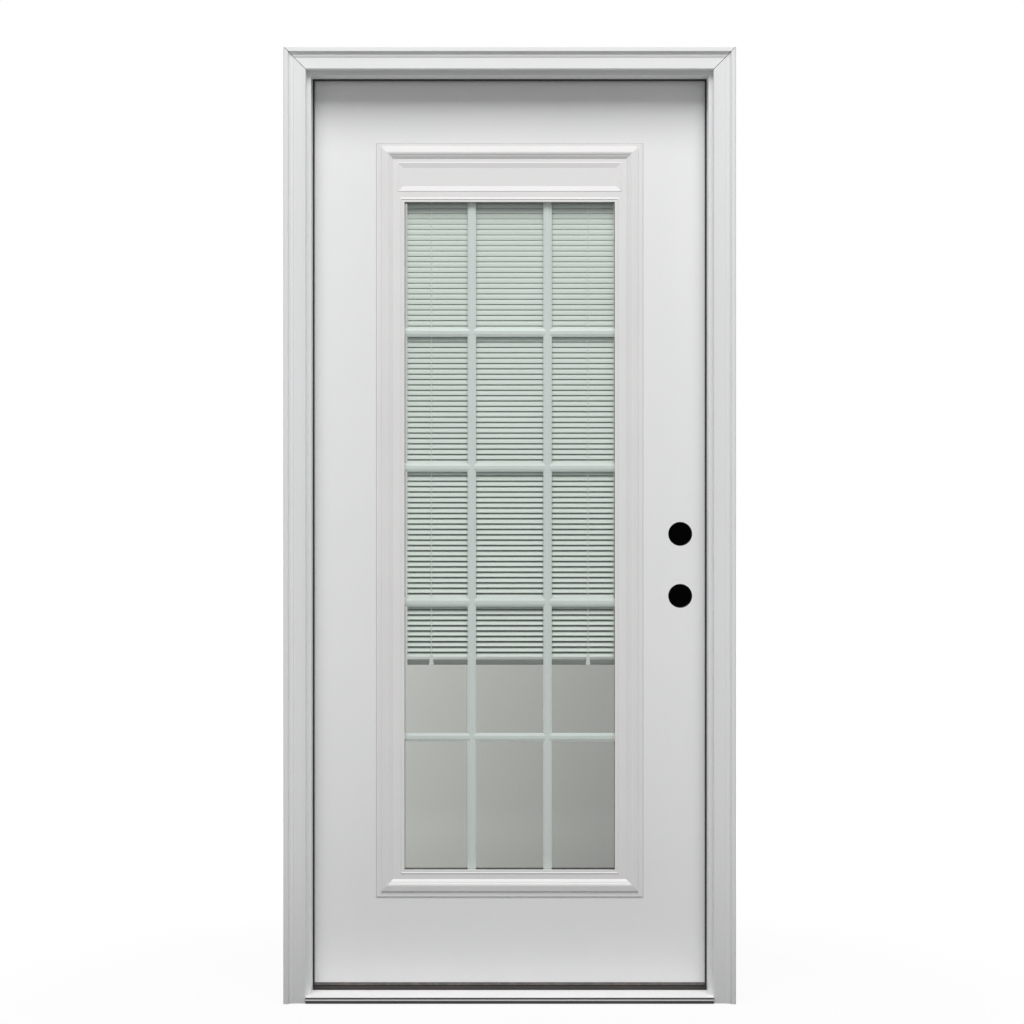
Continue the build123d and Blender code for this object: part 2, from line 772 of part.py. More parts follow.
def light_frame(outward, skin_face):
    """One half of the light's frame; outward is -1 outside and 1 inside."""
    far = outward * (unit_front - slab_front)
    skin_plane = Plane.XZ.offset(-skin_face)
    ogee_half = light_width / 2 - ogee_side_shift
    ogee_bottom = light_bottom + ogee_bottom_shift
    with BuildPart() as frame:
        with BuildSketch(skin_plane):
            with Locations((0, light_middle)):
                Rectangle(light_width, light_height)
                Rectangle(light_width - 2 * flange_ring, light_height - 2 * flange_ring, mode=Mode.SUBTRACT)
        extrude(amount=-outward * flange_height)
        with BuildSketch(skin_plane):
            with Locations((0, light_middle)):
                Rectangle(light_width - 2 * flange_ring, light_height - 2 * flange_ring)
            with Locations((0, opening_middle)):
                Rectangle(2 * opening_half, opening_height, mode=Mode.SUBTRACT)
        extrude(amount=-outward * trough_height)
        with BuildLine() as outer_path:
            Polyline(
                (0, skin_face, ogee_bottom),
                (ogee_half, skin_face, ogee_bottom),
                (ogee_half, skin_face, light_top),
                (-ogee_half, skin_face, light_top),
                (-ogee_half, skin_face, ogee_bottom),
                close=True,
            )
        with BuildSketch(Plane.YZ):
            with BuildLine():
                Polyline(
                    *[(skin_face + outward * out, ogee_bottom + across) for across, out in light_profile()],
                    close=True,
                )
            make_face()
        sweep(path=outer_path.wire(), transition=Transition.RIGHT)
        with BuildLine() as inner_path:
            Polyline(
                (0, skin_face, opening_bottom),
                (opening_half, skin_face, opening_bottom),
                (opening_half, skin_face, opening_top),
                (-opening_half, skin_face, opening_top),
                (-opening_half, skin_face, opening_bottom),
                close=True,
            )
        with BuildSketch(Plane.YZ):
            with BuildLine():
                Polyline(
                    *[(skin_face + outward * out, opening_bottom - across) for across, out in bead_profile()],
                    close=True,
                )
            make_face()
        sweep(path=inner_path.wire(), transition=Transition.RIGHT)
        with BuildSketch(skin_plane):
            with Locations((0, light_middle)):
                Rectangle(cutout_width - 2 * light_cutout_fit, cutout_height - 2 * light_cutout_fit)
            with Locations((0, unit_middle)):
                Rectangle(2 * unit_pocket_half, unit_pocket_top - unit_pocket_bottom, mode=Mode.SUBTRACT)
        extrude(amount=outward * slab_thickness / 2)
        with BuildSketch(skin_plane):
            with Locations((0, (opening_top + unit_pocket_top) / 2)):
                Rectangle(2 * unit_pocket_half, unit_pocket_top - opening_top)
        extrude(amount=far)
        panel_width = light_width - 2 * header_panel_side
        panel_middle = light_top - header_panel_drop - header_panel_height / 2
        panel_foot = skin_plane.offset(-outward * trough_height)
        panel_rim = panel_foot.offset(-outward * header_rim_height)
        for plane, inset in ((panel_foot, 0), (panel_rim, header_rim_step)):
            with BuildSketch(plane):
                with Locations((0, panel_middle)):
                    Rectangle(panel_width - 2 * inset, header_panel_height - 2 * inset)
        loft()
        recess_inset = header_rim_step + header_rim_land
        recess_floor = panel_rim.offset(outward * header_recess_depth)
        for plane, inset in ((panel_rim, recess_inset), (recess_floor, recess_inset + header_recess_bevel)):
            with BuildSketch(plane):
                with Locations((0, panel_middle)):
                    Rectangle(panel_width - 2 * inset, header_panel_height - 2 * inset)
        loft(mode=Mode.SUBTRACT)
    return frame.part


save(light_frame(-1, slab_front), "lite_frame_exterior")
save(light_frame(1, slab_back), "lite_frame_interior")

# Edge of the gasket that shows round the outer half of the light's frame
with BuildPart() as lite_gasket:
    with BuildSketch(Plane.XZ.offset(-slab_front)):
        with Locations((0, light_middle)):
            Rectangle(light_width + 2 * gasket_show, light_height + 2 * gasket_show)
            Rectangle(light_width, light_height, mode=Mode.SUBTRACT)
    extrude(amount=gasket_thickness)
save(lite_gasket.part, "lite_gasket")

# Glass unit: two panes held apart by a spacer
for name, front in (("glass_exterior", unit_front), ("glass_interior", unit_back - pane_thickness)):
    with BuildPart() as pane:
        with BuildSketch(Plane.XZ.offset(-front)):
            with Locations((0, unit_middle)):
                Rectangle(2 * unit_half, unit_height)
        extrude(amount=-pane_thickness)
    save(pane.part, name)

with BuildPart() as glass_spacer:
    with BuildSketch(Plane.XZ.offset(-space_front)):
        with Locations((0, unit_middle)):
            Rectangle(2 * unit_half, unit_height)
            Rectangle(2 * space_half, unit_height - 2 * spacer_width, mode=Mode.SUBTRACT)
    extrude(amount=space_front - space_back)
save(glass_spacer.part, "glass_spacer")


def bar_section():
    """Contoured bar: half widths and depths of its stepped cross-section."""
    half = grille_width / 2
    return (
        (-half, grille_front + grille_shoulder),
        (-grille_flat / 2, grille_front),
        (grille_flat / 2, grille_front),
        (half, grille_front + grille_shoulder),
        (half, grille_back),
        (-half, grille_back),
    )


# Grille of contoured bars between the panes, fused where the bars cross
with BuildPart() as grille:
    for index in range(grille_columns):
        column = (index - (grille_columns - 1) / 2) * grille_column_pitch
        with BuildSketch(Plane.XY.offset(space_bottom)):
            with BuildLine():
                Polyline(*[(column + across, depth) for across, depth in bar_section()], close=True)
            make_face()
        extrude(amount=space_top - space_bottom)
    for row in range(grille_rows):
        level = grille_lowest + row * grille_pitch
        with BuildSketch(Plane.YZ.offset(-space_half)):
            with BuildLine():
                Polyline(*[(depth, level + across) for across, depth in bar_section()], close=True)
            make_face()
        extrude(amount=2 * space_half)
save(grille.part, "grille")

# Blind inside the glass. Its headrail is behind the light's header, and its slats hang with
# their outer edges down, closed tighter towards the top
with BuildPart() as blind_headrail:
    with BuildSketch(Plane.XY.offset(headrail_bottom)):
        with Locations((0, blind_y)):
            Rectangle(2 * space_half, headrail_depth)
    extrude(amount=headrail_height)
save(blind_headrail.part, "blind_headrail")

slat_lowest = blind_bottom + bottom_rail_height + slat_pitch
slat_count = int((headrail_bottom - slat_lowest) / slat_pitch)
with BuildPart() as blind_slats:
    for index in range(slat_count):
        level = slat_lowest + index * slat_pitch
        share = index / (slat_count - 1)
        tilt = radians(slat_tilt_bottom + share * (slat_tilt_top - slat_tilt_bottom))
        slat_plane = Plane(
            origin=(blind_shift - blind_half, blind_y, level),
            x_dir=(0, -cos(tilt), -sin(tilt)),
            z_dir=(1, 0, 0),
        )
        outer_edge = (slat_width / 2, 0)
        inner_edge = (-slat_width / 2, 0)
        with BuildSketch(slat_plane):
            with BuildLine():
                ThreePointArc(inner_edge, (0, -slat_crown), outer_edge)
                Line(outer_edge, (slat_width / 2, slat_thickness))
                ThreePointArc(
                    (slat_width / 2, slat_thickness),
                    (0, slat_thickness - slat_crown),
                    (-slat_width / 2, slat_thickness),
                )
                Line((-slat_width / 2, slat_thickness), inner_edge)
            make_face()
        extrude(amount=2 * blind_half)
save(blind_slats.part, "blind_slats")

with BuildPart() as blind_bottom_rail:
    with BuildSketch(Plane.XY.offset(blind_bottom)):
        with Locations((blind_shift, blind_y)):
            Rectangle(2 * blind_half, bottom_rail_depth)
    extrude(amount=bottom_rail_height)
    fillet(blind_bottom_rail.edges().filter_by(Axis.X), radius=bottom_rail_round)
save(blind_bottom_rail.part, "blind_bottom_rail")

# Cords from the headrail that follow the outer edges of the slats, each ending in a flat
# tassel before the bottom rail
tassel_top = blind_bottom + tassel_height
cord_run = Vector(0, blind_y - cord_top_reach - tassel_y, headrail_bottom - tassel_top)
with BuildPart() as blind_cords:
    for column in (-cord_column, cord_column):
        with BuildSketch(Plane.XY.offset(tassel_top)) as cord_end:
            with Locations((column, tassel_y)):
                Circle(cord_radius)
        extrude(cord_end.sketch, amount=cord_run.length, dir=cord_run.normalized())
save(blind_cords.part, "blind_cords")

with BuildPart() as blind_tassels:
    for column in (-cord_column, cord_column):
        with BuildSketch(Plane.XZ.offset(-tassel_y - tassel_thickness / 2)):
            with BuildLine():
                Polyline(
                    (column - tassel_neck / 2, tassel_top),
                    (column - tassel_width / 2, blind_bottom),
                    (column + tassel_width / 2, blind_bottom),
                    (column + tassel_neck / 2, tassel_top),
                    close=True,
                )
            make_face()
        extrude(amount=tassel_thickness)
save(blind_tassels.part, "blind_tassels")
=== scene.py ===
"""Looks of the glazed steel door: materials, small hardware, light and camera.

Sizes are in metres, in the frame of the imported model: X to the right as seen from
outside, Y into the building, Z up, the origin in the middle of the sill's underside.
"""
from math import cos, pi, radians, sin

import bmesh
import bpy
from mathutils import Matrix, Vector


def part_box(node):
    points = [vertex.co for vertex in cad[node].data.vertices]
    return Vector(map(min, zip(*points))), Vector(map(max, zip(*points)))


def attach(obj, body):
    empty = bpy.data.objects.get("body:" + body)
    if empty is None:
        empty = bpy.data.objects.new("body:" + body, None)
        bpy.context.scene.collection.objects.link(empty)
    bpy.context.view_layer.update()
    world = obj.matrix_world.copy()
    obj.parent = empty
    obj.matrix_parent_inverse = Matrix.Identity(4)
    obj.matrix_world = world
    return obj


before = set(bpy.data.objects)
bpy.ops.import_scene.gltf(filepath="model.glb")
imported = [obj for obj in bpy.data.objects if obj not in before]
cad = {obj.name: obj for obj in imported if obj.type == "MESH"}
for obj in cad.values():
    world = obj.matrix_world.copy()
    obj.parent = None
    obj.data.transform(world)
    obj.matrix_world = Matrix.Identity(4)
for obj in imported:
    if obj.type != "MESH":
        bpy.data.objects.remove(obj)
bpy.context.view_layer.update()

# Camera; its lens and sensor are in millimetres
camera_distance = 6.43175
camera_height = 1.1115
camera_lens = 101.476
camera_sensor = 36.0
camera_shift_x = 0.00225
camera_shift_y = -0.0088

# Key lamp, outside and above the door, and a weaker one that lights the inner side
key_distance = 3.3
key_height = 5.5
key_watts = 239.0
back_distance = 3.6
back_height = 2.0
back_watts = 75.0
lamp_width = 4.0
lamp_depth = 2.6
lamp_aim = (0.0, 0.0, 1.1)

# Lamp that throws light up, as the pale floor before the door does
bounce_place = (0.0, -1.6, 0.02)
bounce_aim = (0.0, -1.6, 1.02)
bounce_width = 4.0
bounce_depth = 2.2
bounce_watts = 14.0

# World and floor; the floor's tones run from near the object to far from it
white = (1.0, 1.0, 1.0, 1.0)
ambient_level = 0.40
floor_half = 60.0
floor_drop = 0.0004
floor_glow_near = 0.92
floor_glow_far = 1.0
floor_grey_near = 0.06
floor_grey_far = 0.10
floor_near_reach = 0.9
floor_far_reach = 3.5
floor_mottle_share = 0.2

# Glass, as the share of light that each face lets through; the inner pane's low share, darker towards
# its lower right, is painted shade
outer_face_clear = 0.965
inner_face_painted_shade_low = 0.51
inner_face_painted_shade_high = 0.73
painted_shade_slope_x = -1.66
pane_cloud_share = 0.1
pane_shade_start = -0.07
pane_shade_end = 1.33
glass_head_on = 0.008
glass_falloff = 5.0

# Painted shade in the groove of the sill's nose, between two heights
groove_bottom = 0.0103
groove_top = 0.0139
groove_painted_shade = (0.22, 0.22, 0.21)

# Painted shade between the slats: it is full where their surfaces leave little open within the reach
slat_shade_reach = 0.012
slat_painted_shade = (0.20, 0.23, 0.19)
crevice_closed = 0.45
crevice_open = 0.85
crevice_samples = 6

# Dark and light tones, each a share of a material's level and its warmth
wood_tones = ((0.985, -0.003), (1.01, -0.006))
skin_tones = ((0.992, -0.003), (1.004, -0.001))
seal_tones = ((1.0, 0.06), (1.9, 0.08))

# Greys that tint a colour, and the shares in which fine textures count
streak_greys = (0.6, 0.95)
fibre_greys = (0.7, 1.0)
mottle_greys = (0.9, 1.0)
streak_tint_share = 0.05
speck_relief_share = 0.5
peel_relief_share = 0.12
fibre_tint_share = 0.3

# How brush lines, grain and the like are drawn out along an axis
drawn_along = {"X": (0.02, 1.0, 1.0), "Z": (1.0, 1.0, 0.02)}
skin_wave_stretch = (1.0, 1.0, 0.6)
ring_stretch = (1.0, 1.0, 0.05)
fibre_stretch = (1.0, 1.0, 0.03)
seal_line_stretch = (0.3, 1.0, 0.3)

# Screws, domed, with a cross recess; angles are in degrees
screw_head_radius = 0.0042
screw_head_rise = 0.0004
screw_head_dome = 0.0005
screw_shoulder_share = 0.96
screw_crown_share = 0.62
screw_crown_rise_share = 0.6
screw_sides = 20
screw_turn_step = 37.0
recess_symmetry = 90.0
recess_arm = 0.0024
recess_half_width = 0.00055
recess_depth = 0.0006
recess_floor_share = 0.7
leaf_screw_rows = (-0.038, -0.013, 0.013, 0.038)
leaf_screw_columns = (0.010, 0.020)
leaf_face_offset = 0.0025
strike_screw_rise = 0.0205


def nodes_of(material):
    """The node tree of a material, emptied, with its output."""
    material.use_nodes = True
    tree = material.node_tree
    tree.nodes.clear()
    return tree, tree.nodes.new("ShaderNodeOutputMaterial")


def coordinates(tree, stretch=(1.0, 1.0, 1.0)):
    """Object coordinates, stretched along the axes."""
    place = tree.nodes.new("ShaderNodeTexCoord")
    mapping = tree.nodes.new("ShaderNodeMapping")
    mapping.inputs["Scale"].default_value = stretch
    tree.links.new(place.outputs["Object"], mapping.inputs["Vector"])
    return mapping.outputs["Vector"]


def noise(tree, vector, scale, detail, roughness=0.5):
    """Noise between 0 and 1 at a scale per metre."""
    node = tree.nodes.new("ShaderNodeTexNoise")
    node.inputs["Scale"].default_value = scale
    node.inputs["Detail"].default_value = detail
    node.inputs["Roughness"].default_value = roughness
    tree.links.new(vector, node.inputs["Vector"])
    return node.outputs["Fac"]


def spread(tree, value, low, high, start=0.25, end=0.75):
    """Maps a value from start..end to low..high."""
    node = tree.nodes.new("ShaderNodeMapRange")
    node.inputs["From Min"].default_value = start
    node.inputs["From Max"].default_value = end
    node.inputs["To Min"].default_value = low
    node.inputs["To Max"].default_value = high
    tree.links.new(value, node.inputs["Value"])
    return node.outputs["Result"]


def ramp(tree, value, start, low, end, high):
    """Colour that runs from low to high while a value runs from start to end."""
    node = tree.nodes.new("ShaderNodeValToRGB")
    stops = ((start, low), (end, high))
    for element, (place, colour) in zip(node.color_ramp.elements, stops):
        element.position = place
        element.color = (*colour, 1.0)
    tree.links.new(value, node.inputs["Fac"])
    return node.outputs["Color"]


def bump(tree, height, depth):
    """Bump whose height runs over depth, in metres."""
    node = tree.nodes.new("ShaderNodeBump")
    node.inputs["Strength"].default_value = 1.0
    node.inputs["Distance"].default_value = depth
    tree.links.new(height, node.inputs["Height"])
    return node.outputs["Normal"]


def mix_colour(tree, factor, first, second, blend="MIX"):
    """Mixes two colours, which may be sockets or plain colours."""
    node = tree.nodes.new("ShaderNodeMix")
    node.data_type = "RGBA"
    node.blend_type = blend
    slots = {"Factor_Float": factor, "A_Color": first, "B_Color": second}
    for name, value in slots.items():
        socket = next(s for s in node.inputs if s.identifier == name)
        if isinstance(value, bpy.types.NodeSocket):
            tree.links.new(value, socket)
        elif name == "Factor_Float":
            socket.default_value = value
        else:
            socket.default_value = (*value, 1.0)
    return next(s for s in node.outputs if s.identifier == "Result_Color")


def combine(tree, operation, first, second):
    """Combines two values, which may be sockets or numbers, by an operation."""
    node = tree.nodes.new("ShaderNodeMath")
    node.operation = operation
    for socket, value in zip(node.inputs, (first, second)):
        if isinstance(value, bpy.types.NodeSocket):
            tree.links.new(value, socket)
        else:
            socket.default_value = value
    return node.outputs["Value"]


def principled(tree, output, colour, roughness, normal, **constants):
    """Principled shader on the output; linked values come as sockets."""
    shader = tree.nodes.new("ShaderNodeBsdfPrincipled")
    for name, value in constants.items():
        shader.inputs[name.replace("_", " ")].default_value = value
    tree.links.new(colour, shader.inputs["Base Color"])
    tree.links.new(roughness, shader.inputs["Roughness"])
    tree.links.new(normal, shader.inputs["Normal"])
    tree.links.new(shader.outputs["BSDF"], output.inputs["Surface"])


def grey(level, warmth=0.0):
    """A grey that leans to warm (positive) or cool (negative)."""
    return (level * (1 + warmth), level, level * (1 - warmth))


def toned(level, tones):
    """The dark and the light grey that a pair of tones makes of a level."""
    return [grey(level * share, warmth) for share, warmth in tones]


def painted_wood(name, level, along):
    """White satin paint on primed wood, with brush lines along the grain."""
    material = bpy.data.materials.new(name)
    tree, output = nodes_of(material)
    streaks = noise(tree, coordinates(tree, drawn_along[along]), scale=900.0, detail=3.0)
    patches = noise(tree, coordinates(tree), scale=3.0, detail=2.0)
    specks = noise(tree, coordinates(tree), scale=420.0, detail=5.0, roughness=0.6)
    dark, light = toned(level, wood_tones)
    colour = ramp(tree, patches, start=0.3, low=dark, end=0.7, high=light)
    dark, light = map(grey, streak_greys)
    brushed = ramp(tree, streaks, start=0.35, low=dark, end=0.6, high=light)
    relief = combine(tree, "ADD", streaks, combine(tree, "MULTIPLY", specks, speck_relief_share))
    principled(
        tree,
        output,
        mix_colour(tree, streak_tint_share, colour, brushed, "MULTIPLY"),
        spread(tree, specks, low=0.38, high=0.50),
        bump(tree, relief, depth=0.00006),
        Specular_IOR_Level=0.4,
    )
    return material


def painted_steel(name, level):
    """Factory primer on a smooth steel skin, with a faint orange peel."""
    material = bpy.data.materials.new(name)
    tree, output = nodes_of(material)
    peel = noise(tree, coordinates(tree), scale=520.0, detail=2.0)
    waves = noise(tree, coordinates(tree, skin_wave_stretch), scale=5.0, detail=2.0)
    dark, light = toned(level, skin_tones)
    relief = combine(tree, "ADD", combine(tree, "MULTIPLY", peel, peel_relief_share), waves)
    principled(
        tree,
        output,
        ramp(tree, waves, start=0.35, low=dark, end=0.65, high=light),
        spread(tree, peel, low=0.36, high=0.46),
        bump(tree, relief, depth=0.0001),
        Specular_IOR_Level=0.4,
    )
    return material


def painted_crevice_shade(tree, colour, reach, dust_and_shade):
    """Darkens a colour with painted shade where the piece's own surface closes in within a reach."""
    node = tree.nodes.new("ShaderNodeAmbientOcclusion")
    node.samples = crevice_samples
    node.only_local = True
    node.inputs["Distance"].default_value = reach
    openness = node.outputs["AO"]
    cover = ramp(tree, openness, start=crevice_closed, low=dust_and_shade, end=crevice_open, high=grey(1.0))
    return mix_colour(tree, 1.0, colour, cover, "MULTIPLY")


def moulded_plastic(
    name, dark, light, smooth, rough, grain=700.0, depth=0.00003, specular=0.45, shade_reach=None
):
    """Moulded plastic with a fine grain and a slight variation in tone, and painted shade in its
    crevices when given a reach.
    """
    material = bpy.data.materials.new(name)
    tree, output = nodes_of(material)
    fine = noise(tree, coordinates(tree), scale=grain, detail=3.0)
    tone = noise(tree, coordinates(tree), scale=6.0, detail=2.0)
    colour = ramp(tree, tone, start=0.3, low=dark, end=0.7, high=light)
    # Painted shade: the colour darkens where the piece's own surface closes in
    if shade_reach is not None:
        colour = painted_crevice_shade(tree, colour, shade_reach, slat_painted_shade)
    principled(
        tree,
        output,
        colour,
        spread(tree, fine, low=smooth, high=rough),
        bump(tree, fine, depth),
        Specular_IOR_Level=specular,
    )
    return material


def brushed_metal(
    name, dark, light, along, smooth, rough, metallic=1.0, specular=0.5, painted_groove_shade=False
):
    """Metal with fine brush lines along one axis, and painted shade in the sill's groove if it has one.
    """
    material = bpy.data.materials.new(name)
    tree, output = nodes_of(material)
    brush = noise(tree, coordinates(tree, drawn_along[along]), scale=2600.0, detail=2.0)
    smears = noise(tree, coordinates(tree), scale=18.0, detail=3.0)
    wear = combine(tree, "MULTIPLY", brush, smears)
    colour = ramp(tree, wear, start=0.12, low=dark, end=0.4, high=light)
    # Painted shade: a dark band between two heights in the sill's groove
    if painted_groove_shade:
        split = tree.nodes.new("ShaderNodeSeparateXYZ")
        tree.links.new(coordinates(tree), split.inputs["Vector"])
        above = combine(tree, "GREATER_THAN", split.outputs["Z"], groove_bottom)
        below = combine(tree, "LESS_THAN", split.outputs["Z"], groove_top)
        colour = mix_colour(tree, combine(tree, "MULTIPLY", above, below), colour, groove_painted_shade)
    principled(
        tree,
        output,
        colour,
        spread(tree, brush, low=smooth, high=rough),
        bump(tree, brush, depth=0.00002),
        Metallic=metallic,
        Specular_IOR_Level=specular,
    )
    return material


def bare_timber(name, light, dark):
    """Unfinished pine with growth rings that run up the piece."""
    material = bpy.data.materials.new(name)
    tree, output = nodes_of(material)
    rings = tree.nodes.new("ShaderNodeTexWave")
    rings.wave_type = "RINGS"
    rings.rings_direction = "Z"
    rings.inputs["Scale"].default_value = 38.0
    rings.inputs["Distortion"].default_value = 7.0
    rings.inputs["Detail"].default_value = 3.0
    rings.inputs["Detail Scale"].default_value = 1.4
    tree.links.new(coordinates(tree, ring_stretch), rings.inputs["Vector"])
    fibres = noise(tree, coordinates(tree, fibre_stretch), scale=700.0, detail=4.0)
    colour = ramp(tree, rings.outputs["Fac"], start=0.15, low=light, end=0.85, high=dark)
    dark, light = map(grey, fibre_greys)
    fibre_tint = ramp(tree, fibres, start=0.3, low=dark, end=0.7, high=light)
    principled(
        tree,
        output,
        mix_colour(tree, fibre_tint_share, colour, fibre_tint, "MULTIPLY"),
        spread(tree, fibres, low=0.6, high=0.8),
        bump(tree, fibres, depth=0.0001),
    )
    return material


def rigid_foam(name, dark, light):
    """Cut foam with small open cells."""
    material = bpy.data.materials.new(name)
    tree, output = nodes_of(material)
    cells = tree.nodes.new("ShaderNodeTexVoronoi")
    cells.inputs["Scale"].default_value = 900.0
    tree.links.new(coordinates(tree), cells.inputs["Vector"])
    distance = cells.outputs["Distance"]
    principled(
        tree,
        output,
        ramp(tree, distance, start=0.0, low=dark, end=0.6, high=light),
        spread(tree, distance, low=0.85, high=0.95, start=0.0, end=0.6),
        bump(tree, distance, depth=0.0003),
    )
    return material


def ribbed_rubber(name, level):
    """Dark flexible seal with fine extrusion lines and dust."""
    material = bpy.data.materials.new(name)
    tree, output = nodes_of(material)
    lines = noise(tree, coordinates(tree, seal_line_stretch), scale=1500.0, detail=2.0)
    dust_and_shade = noise(tree, coordinates(tree), scale=60.0, detail=6.0, roughness=0.7)
    clean, dusty = toned(level, seal_tones)
    principled(
        tree,
        output,
        ramp(tree, dust_and_shade, start=0.45, low=clean, end=0.8, high=dusty),
        spread(tree, dust_and_shade, low=0.5, high=0.75),
        bump(tree, lines, depth=0.00005),
    )
    return material


def clear_pane(name, clear_low, clear_high, tint):
    """A pane that shades what is behind it with painted shade, more towards its lower right corner."""
    material = bpy.data.materials.new(name)
    tree, output = nodes_of(material)
    split = tree.nodes.new("ShaderNodeSeparateXYZ")
    tree.links.new(coordinates(tree), split.inputs["Vector"])
    # Painted shade: a slope in object coordinates darkens the pane towards its lower right
    across = combine(tree, "MULTIPLY", split.outputs["X"], painted_shade_slope_x)
    painted_shade_slope = combine(tree, "ADD", across, split.outputs["Z"])
    cloud = noise(tree, coordinates(tree), scale=2.2, detail=1.0)
    shade = combine(tree, "ADD", painted_shade_slope, combine(tree, "MULTIPLY", cloud, pane_cloud_share))
    factor = spread(tree, shade, low=0.0, high=1.0, start=pane_shade_start, end=pane_shade_end)
    low = tuple(clear_low * part for part in tint)
    high = tuple(clear_high * part for part in tint)
    clear = tree.nodes.new("ShaderNodeBsdfTransparent")
    tree.links.new(ramp(tree, factor, start=0.0, low=low, end=1.0, high=high), clear.inputs["Color"])
    mirror = tree.nodes.new("ShaderNodeBsdfAnisotropic")
    mirror.inputs["Color"].default_value = white
    smudges = noise(tree, coordinates(tree), scale=14.0, detail=5.0, roughness=0.65)
    smear = spread(tree, smudges, low=0.01, high=0.05, start=0.4, end=0.8)
    tree.links.new(smear, mirror.inputs["Roughness"])
    edge = tree.nodes.new("ShaderNodeLayerWeight")
    edge.inputs["Blend"].default_value = 0.5
    gloss = combine(tree, "POWER", edge.outputs["Facing"], glass_falloff)
    gloss = combine(tree, "MULTIPLY", gloss, 1.0 - glass_head_on)
    blend = tree.nodes.new("ShaderNodeMixShader")
    tree.links.new(combine(tree, "ADD", gloss, glass_head_on), blend.inputs["Fac"])
    tree.links.new(clear.outputs["BSDF"], blend.inputs[1])
    tree.links.new(mirror.outputs["BSDF"], blend.inputs[2])
    tree.links.new(blend.outputs["Shader"], output.inputs["Surface"])
    return material


def woven_cord(name, dark, light):
    """Braided cord: slanted strands round its length."""
    material = bpy.data.materials.new(name)
    tree, output = nodes_of(material)
    strands = tree.nodes.new("ShaderNodeTexWave")
    strands.wave_type = "BANDS"
    strands.bands_direction = "DIAGONAL"
    strands.inputs["Scale"].default_value = 350.0
    strands.inputs["Distortion"].default_value = 1.5
    tree.links.new(coordinates(tree), strands.inputs["Vector"])
    weave = strands.outputs["Fac"]
    principled(
        tree,
        output,
        ramp(tree, weave, start=0.1, low=dark, end=0.7, high=light),
        spread(tree, weave, low=0.7, high=0.85),
        bump(tree, weave, depth=0.0001),
    )
    return material


def assign(material, *names):
    """Puts a material on CAD nodes in place of their own."""
    for name in names:
        mesh = cad[name].data
        mesh.materials.clear()
        mesh.materials.append(material)


assign(
    painted_wood("frame_white_upright", level=0.82, along="Z"),
    "hinge_jamb", "strike_jamb", "casing_left", "casing_right",
)
# The head pieces get a lighter level than the uprights in the same paint: painted light on the head
assign(painted_wood("frame_white_level_painted_light", level=0.86, along="X"), "head_jamb", "casing_head")
assign(painted_steel("skin_white", level=0.87), "exterior_skin", "interior_skin")
assign(
    moulded_plastic(
        "lite_white", dark=(0.800, 0.791, 0.789), light=(0.825, 0.816, 0.814), smooth=0.34, rough=0.42
    ),
    "lite_frame_exterior", "lite_frame_interior",
)
assign(
    moulded_plastic(
        "grille_white", dark=(0.76, 0.81, 0.82), light=(0.80, 0.85, 0.86), smooth=0.35, rough=0.45
    ),
    "grille",
)
# The slats and headrail get painted shade between the slats
assign(
    moulded_plastic(
        "slat_white", dark=(0.72, 0.77, 0.755), light=(0.76, 0.81, 0.795), smooth=0.40, rough=0.48,
        grain=300.0, shade_reach=slat_shade_reach,
    ),
    "blind_slats", "blind_headrail",
)
# The white bottom rail is made dark grey: painted shade at the foot of the blind
assign(
    moulded_plastic(
        "rail_white_painted_shade", dark=(0.20, 0.22, 0.21), light=(0.25, 0.27, 0.26), smooth=0.45, rough=0.55
    ),
    "blind_bottom_rail",
)
assign(
    moulded_plastic(
        "tassel_clear", dark=(0.72, 0.76, 0.73), light=(0.80, 0.84, 0.81), smooth=0.2, rough=0.3
    ),
    "blind_tassels",
)
assign(woven_cord("cord_white", dark=(0.78, 0.82, 0.78), light=(0.92, 0.95, 0.92)), "blind_cords")
assign(
    brushed_metal(
        "sill_aluminium", dark=grey(0.93), light=grey(0.97), along="X", smooth=0.4, rough=0.5,
        metallic=0.0, specular=0.15, painted_groove_shade=True,
    ),
    "sill_deck",
)
assign(
    moulded_plastic(
        "sill_composite", dark=(0.13, 0.13, 0.14), light=(0.20, 0.20, 0.21), smooth=0.6, rough=0.8,
        grain=160.0, depth=0.0002,
    ),
    "sill_base",
)
assign(
    moulded_plastic(
        "cap_brown", dark=(0.016, 0.013, 0.011), light=(0.024, 0.019, 0.016), smooth=0.6, rough=0.75
    ),
    "threshold_cap",
)
assign(
    ribbed_rubber("seal_black", level=0.012),
    "weatherstrip_left", "weatherstrip_right", "weatherstrip_head", "lite_gasket",
)
assign(ribbed_rubber("sweep_grey", level=0.13), "door_sweep")
assign(
    bare_timber("bare_timber", light=(0.66, 0.47, 0.28), dark=(0.47, 0.29, 0.15)),
    "hinge_stile", "lock_stile", "top_rail", "bottom_rail",
)
assign(
    moulded_plastic(
        "sealed_block", dark=(0.006, 0.006, 0.006), light=(0.010, 0.009, 0.009), smooth=0.8, rough=0.95
    ),
    "lock_block",
)
